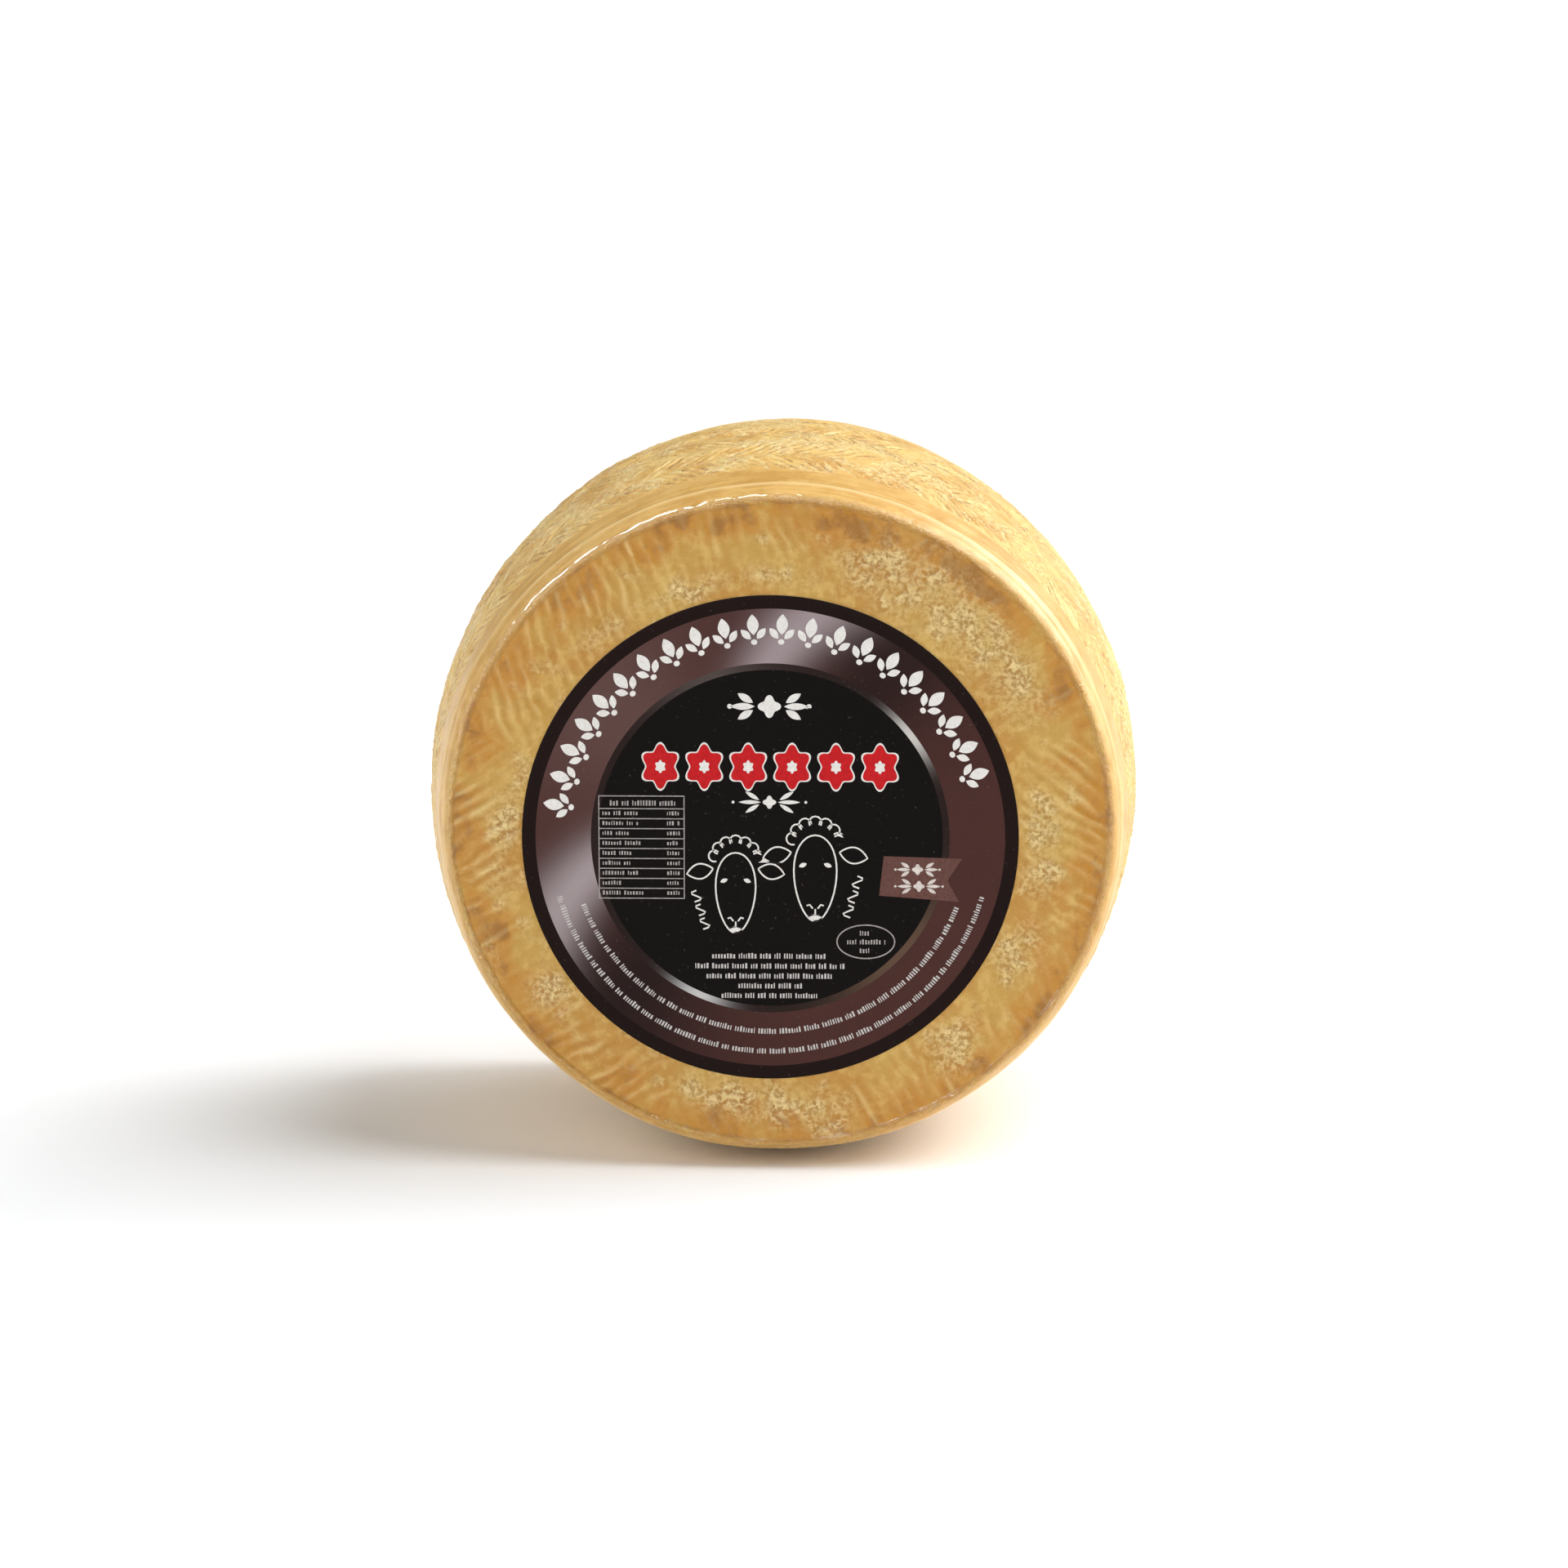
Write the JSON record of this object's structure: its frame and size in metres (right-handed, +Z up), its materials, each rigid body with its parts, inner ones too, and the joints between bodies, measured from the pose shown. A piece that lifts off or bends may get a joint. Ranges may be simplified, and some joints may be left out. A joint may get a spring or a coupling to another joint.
{
  "type": "cheese wheel",
  "caption": "Cured sheep's-milk cheese wheel with a barrel-shaped side, standing on its rim, with a round printed label on one face.",
  "frame": {"origin": "on the floor in the middle of the flat foot, under the wheel's axis and half way between its faces", "axes": "+Z up, the wheel's axis lies along Y, and the labelled face looks towards -Y"},
  "size_m": [0.192, 0.1126, 0.1912],
  "materials": {
    "rind": "waxy amber cheese rind, press marks on the faces and plaited-band marks round the side",
    "label_film": "glossy printed film, black middle, brown ring and black edge"
  },
  "bodies": {
    "root": {"cheese_wheel": "rind", "label": "label_film"}
  },
  "joints": []
}
